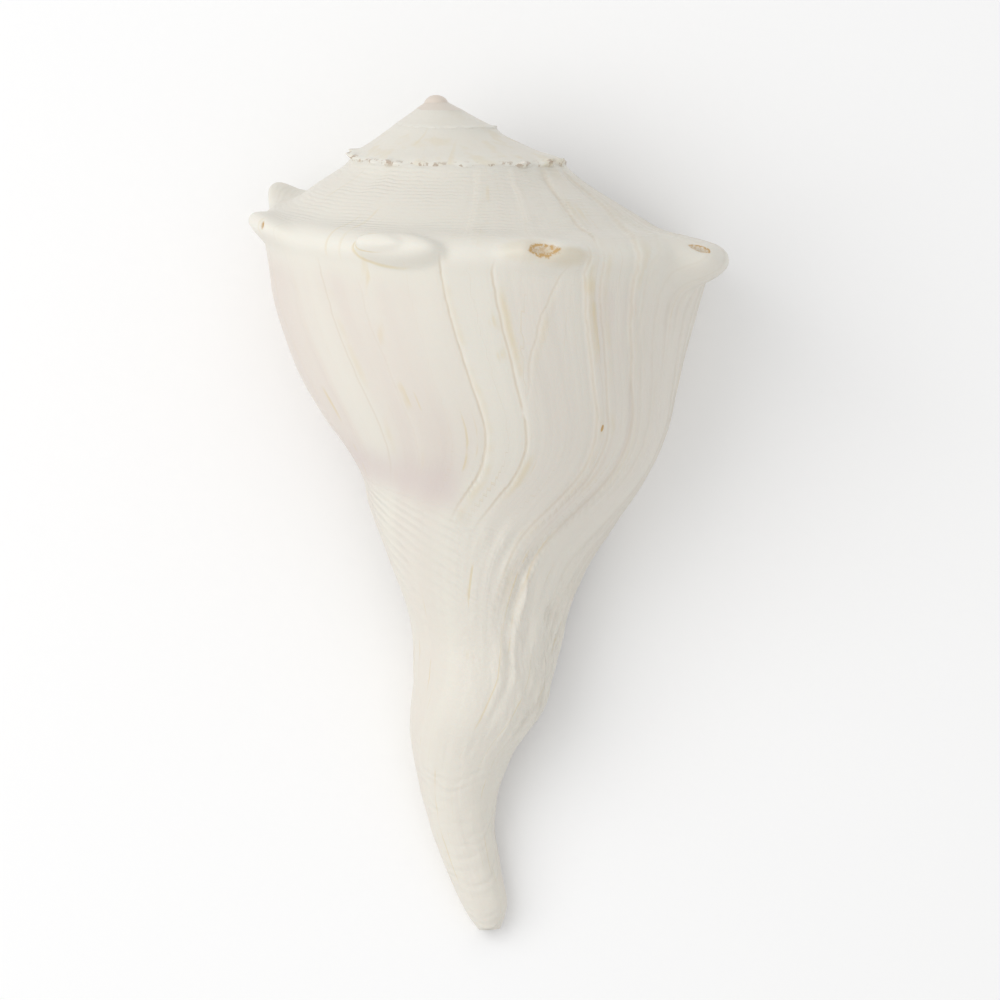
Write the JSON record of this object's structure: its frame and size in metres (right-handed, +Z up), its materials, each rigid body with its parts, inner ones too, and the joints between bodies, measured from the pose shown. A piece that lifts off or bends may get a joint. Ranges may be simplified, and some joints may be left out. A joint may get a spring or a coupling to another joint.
{
  "type": "whelk shell",
  "caption": "Large left-handed knobbed whelk shell with a low spire, a wide open mouth and a long bent canal, lying mouth down.",
  "frame": {"origin": "middle of the footprint of the shell's bounding box, on the floor it rests on", "axes": "+Z up, +Y towards the spire, +X towards the outer lip"},
  "size_m": [0.112, 0.1958, 0.09],
  "materials": {
    "shell": "low satin"
  },
  "bodies": {
    "root": {"whelk_shell": "shell"}
  },
  "joints": []
}
